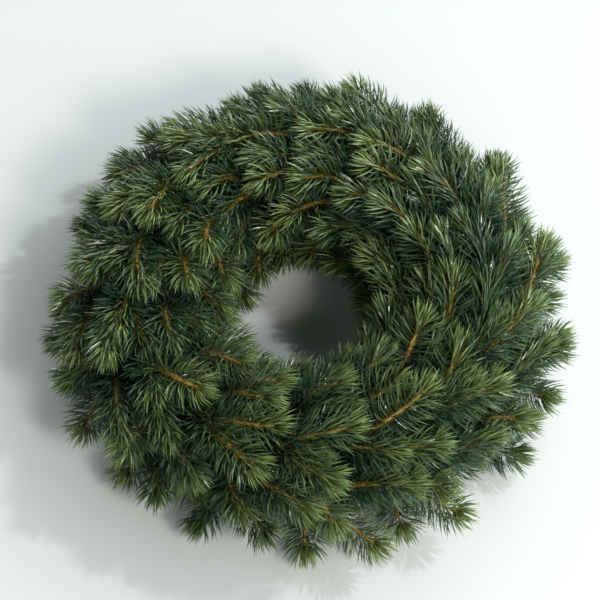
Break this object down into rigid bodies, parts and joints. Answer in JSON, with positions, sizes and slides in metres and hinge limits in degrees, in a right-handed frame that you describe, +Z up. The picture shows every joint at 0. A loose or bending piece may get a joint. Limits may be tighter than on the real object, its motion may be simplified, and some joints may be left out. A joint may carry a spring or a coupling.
{
  "type": "evergreen wreath",
  "caption": "Round wreath of spruce sprigs laid one way round, bound with wire onto a flat-backed straw ring, with an open hole in the middle.",
  "frame": {"origin": "middle of the straw ring, on the surface that the wreath lies on; the middle of the hole lies 8 mm to its front left", "axes": "+Z up along the hole, out of the face of the wreath; the sprigs point counterclockwise seen from +Z; +X and +Y lie in the plane of the ring"},
  "size_m": [0.3973, 0.4059, 0.1059],
  "materials": {
    "spruce": "fresh waxy spruce needles, yellow green above and blue green below, on orange brown twigs",
    "straw": "dry matt straw",
    "binding_wire": "thin green lacquered wire"
  },
  "bodies": {
    "root": {"straw_ring": "straw", "binding_wire": "binding_wire", "outer_sprig_01": "spruce", "top_sprig_01": "spruce", "inner_sprig_01": "spruce", "outer_sprig_02": "spruce", "top_sprig_02": "spruce", "inner_sprig_02": "spruce", "outer_sprig_03": "spruce", "top_sprig_03": "spruce", "inner_sprig_03": "spruce", "outer_sprig_04": "spruce", "top_sprig_04": "spruce", "inner_sprig_04": "spruce", "outer_sprig_05": "spruce", "top_sprig_05": "spruce", "inner_sprig_05": "spruce", "outer_sprig_06": "spruce", "top_sprig_06": "spruce", "inner_sprig_06": "spruce", "outer_sprig_07": "spruce", "top_sprig_07": "spruce", "inner_sprig_07": "spruce", "outer_sprig_08": "spruce", "top_sprig_08": "spruce", "inner_sprig_08": "spruce", "outer_sprig_09": "spruce", "top_sprig_09": "spruce", "inner_sprig_09": "spruce", "outer_sprig_10": "spruce", "top_sprig_10": "spruce", "inner_sprig_10": "spruce", "outer_sprig_11": "spruce", "top_sprig_11": "spruce", "inner_sprig_11": "spruce", "outer_sprig_12": "spruce", "top_sprig_12": "spruce", "inner_sprig_12": "spruce", "outer_sprig_13": "spruce", "top_sprig_13": "spruce", "inner_sprig_13": "spruce", "outer_sprig_14": "spruce", "top_sprig_14": "spruce", "inner_sprig_14": "spruce", "outer_sprig_15": "spruce", "top_sprig_15": "spruce", "inner_sprig_15": "spruce"}
  },
  "joints": []
}
